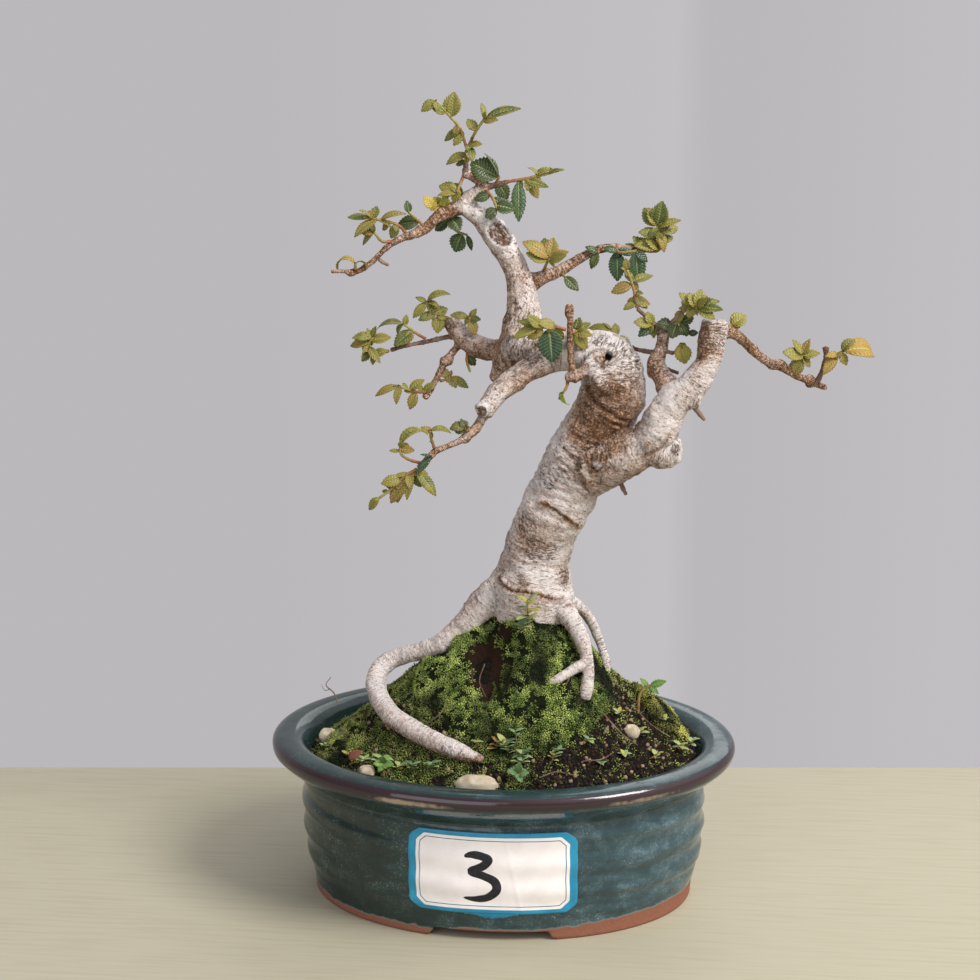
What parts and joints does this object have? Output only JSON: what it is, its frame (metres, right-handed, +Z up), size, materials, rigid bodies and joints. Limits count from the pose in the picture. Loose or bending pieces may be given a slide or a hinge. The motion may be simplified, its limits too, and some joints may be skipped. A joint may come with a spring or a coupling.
{
  "type": "elm bonsai",
  "caption": "Small elm trained as a leaning bonsai with raised roots, serrated leaves, a mossy soil mound and an oval glazed pot with a paper label.",
  "frame": {"origin": "middle of the common footprint of tree and pot, on the surface that the pot's foot stands on", "axes": "+Z up, -Y towards the labelled side of the pot, +X to the right as seen from there, along the pot's long side"},
  "size_m": [0.2624, 0.158, 0.3551],
  "materials": {
    "glaze": "dark teal-green glaze, glossy, over an orange-brown unglazed foot",
    "netting": "matt woven mesh",
    "soil": "loose dark granular soil, matt",
    "moss": "living moss, matt and tufted",
    "bark": "pale living bark with brown patches, matt",
    "leaf_young": "young yellow-green leaf, satin",
    "leaf_old": "older dark green leaf, satin",
    "leaf_bronze": "bronze young leaf, satin",
    "weed": "small green plant, satin",
    "label": "printed coated paper, satin",
    "stone": "pale river stone, matt"
  },
  "bodies": {
    "root": {"pot": "glaze", "drain_screen_left": "netting", "drain_screen_right": "netting", "soil": "soil", "moss_mound": "moss", "moss_left": "moss", "moss_right": "moss", "wood": "bark", "shoot_top": "leaf_young", "shoot_crown_right": "leaf_young", "shoot_crown_back": "leaf_young", "shoot_yellow": "leaf_young", "shoot_left_twig": "leaf_young", "shoot_left_curl": "leaf_young", "shoot_right_base": "leaf_young", "shoot_right_tip": "leaf_young", "shoot_pair": "leaf_young", "shoot_mid_young": "leaf_young", "shoot_stump_left": "leaf_young", "shoot_gap_left": "leaf_young", "shoot_brow": "leaf_young", "shoot_brow_back": "leaf_young", "shoot_pendent": "leaf_young", "shoot_far_top": "leaf_young", "shoot_arch_top": "leaf_young", "shoot_arch_mid": "leaf_young", "shoot_left_end": "leaf_young", "shoot_left_low": "leaf_young", "shoot_stub_right": "leaf_young", "shoot_low_arch": "leaf_young", "shoot_low_side": "leaf_young", "shoot_low_tip": "leaf_young", "shoot_crown_mid": "leaf_old", "shoot_crown_low": "leaf_old", "shoot_crown_rear": "leaf_old", "shoot_left_dark": "leaf_old", "shoot_right_low": "leaf_old", "shoot_right_dots": "leaf_old", "shoot_right_hanging": "leaf_old", "shoot_mid_dark": "leaf_old", "shoot_left_under": "leaf_old", "shoot_low_crumple": "leaf_old", "shoot_low_dark": "leaf_old", "shoot_left_red": "leaf_bronze", "shoot_upper_mid": "leaf_bronze", "shoot_stump_back": "leaf_bronze", "shoot_far_end": "leaf_bronze", "shoot_left_small": "leaf_bronze", "seedling_right": "weed", "weed_left": "weed", "weed_front": "weed", "label": "label", "stone_front": "stone", "pebble_right": "stone", "pebble_left": "stone", "pebble_far_left": "stone"}
  },
  "joints": []
}
